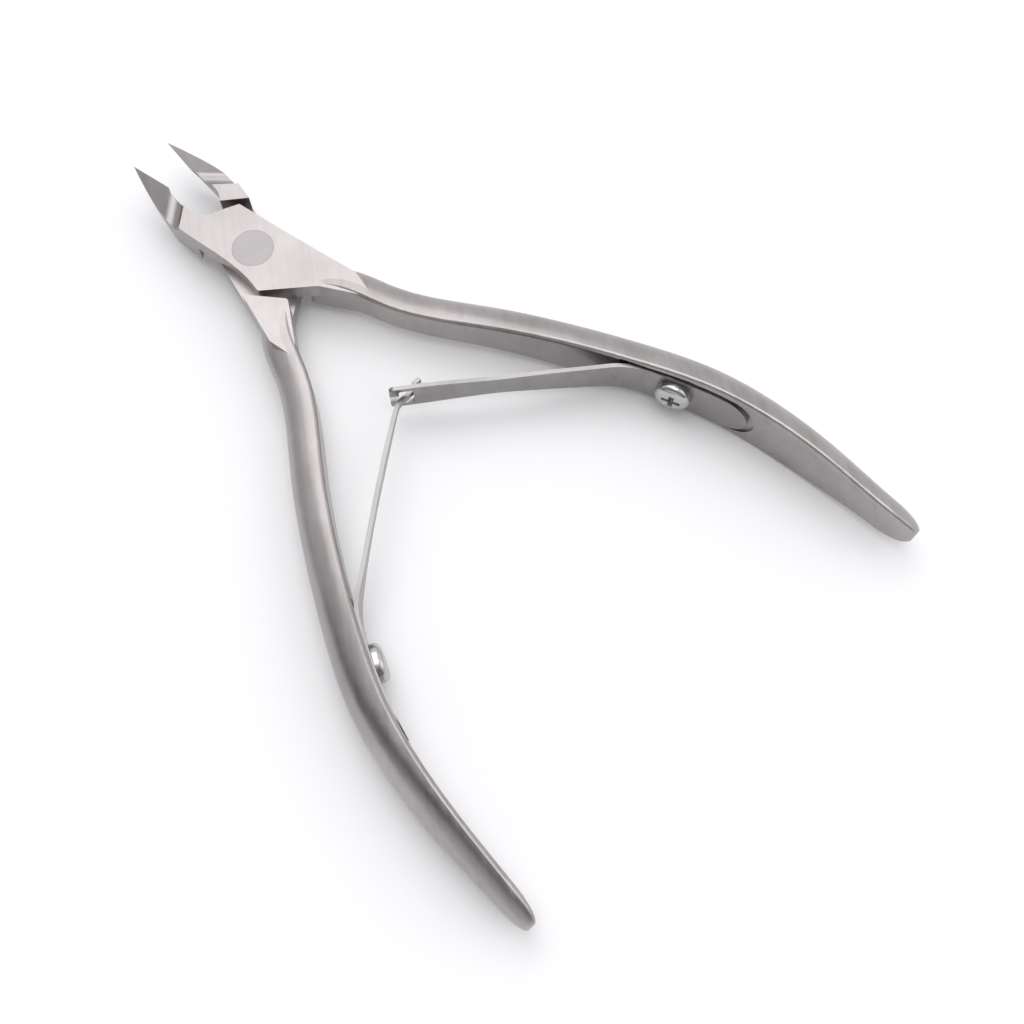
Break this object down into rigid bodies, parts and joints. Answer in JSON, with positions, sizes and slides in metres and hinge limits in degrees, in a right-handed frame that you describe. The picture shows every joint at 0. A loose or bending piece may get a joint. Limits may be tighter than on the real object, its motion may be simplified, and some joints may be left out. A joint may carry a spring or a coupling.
{
  "type": "cuticle nipper",
  "caption": "Lap-jointed cuticle nipper with pointed side-cutting jaws, curved D-section handles and two interlocking leaf springs that hold it open.",
  "frame": {"origin": "on the pivot axis, at the joint's flat underside", "axes": "+X along the line between the handles, away from the jaws; +Y towards the upper half's handle; +Z along the rivet, towards the upper half's lap"},
  "size_m": [0.1, 0.0628, 0.0082],
  "materials": {
    "forged_steel": "satin, fine brushed joint faces",
    "rivet_steel": "fine brushed, ground flush",
    "spring_steel": "satin spring strip",
    "screw_steel": "bright plated"
  },
  "bodies": {
    "lower": {"lower_half": "forged_steel", "pivot_rivet": "rivet_steel", "hook_spring_screw": "screw_steel"},
    "upper": {"upper_half": "forged_steel", "slotted_spring_screw": "screw_steel"},
    "slotted_leaf": {"slotted_spring": "spring_steel"},
    "hook_leaf": {"hook_spring": "spring_steel"}
  },
  "joints": [
    {"name": "pivot", "type": "hinge", "parent": "lower", "child": "upper", "pos_m": [0, 0, 0.0022], "axis": [0, 0, 1], "range_deg": [-14.3, 0], "stiffness_Nm_per_rad": 0.6},
    {"name": "slotted_leaf_flex", "type": "hinge", "parent": "upper", "child": "slotted_leaf", "pos_m": [0.0419, 0.0202, 0.0022], "axis": [0, 0, 1], "range_deg": [-10.5, 0], "deforming": ["slotted_spring"]},
    {"name": "hook_leaf_flex", "type": "hinge", "parent": "lower", "child": "hook_leaf", "pos_m": [0.0419, -0.0202, 0.0022], "axis": [0, 0, 1], "range_deg": [0, 10.5], "deforming": ["hook_spring"]}
  ],
  "couplings": [
    {"joint": "slotted_leaf_flex", "follows": "pivot", "ratio": 0.705},
    {"joint": "hook_leaf_flex", "follows": "pivot", "ratio": -0.705}
  ]
}
